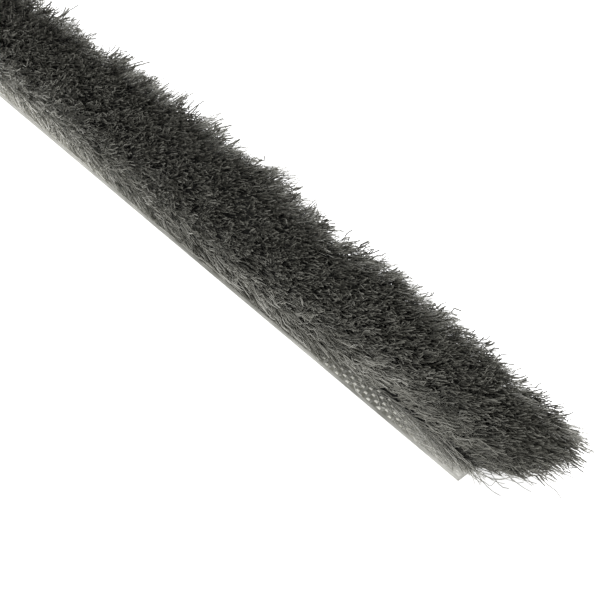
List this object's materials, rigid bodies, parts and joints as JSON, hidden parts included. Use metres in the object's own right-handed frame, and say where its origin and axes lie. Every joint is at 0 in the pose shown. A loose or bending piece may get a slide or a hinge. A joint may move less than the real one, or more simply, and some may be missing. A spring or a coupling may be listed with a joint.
{
  "type": "brush seal strip",
  "caption": "Straight length of brush seal: dense cut pile leaning along a flat woven backing tape, with a bare flange on each side that slides into a slot.",
  "frame": {"origin": "centre of the tape's back, which is the face the strip lies on and the groove's floor bears on", "axes": "+X along the strip, towards the end that the pile leans to; +Y across the tape; +Z out through the pile"},
  "size_m": [1.0052, 0.0068, 0.0057],
  "materials": {
    "woven_tape": "woven, coated on the back",
    "pile_fibre": "cut pile"
  },
  "bodies": {
    "root": {"backing_tape": "woven_tape", "pile": "pile_fibre"}
  },
  "joints": []
}
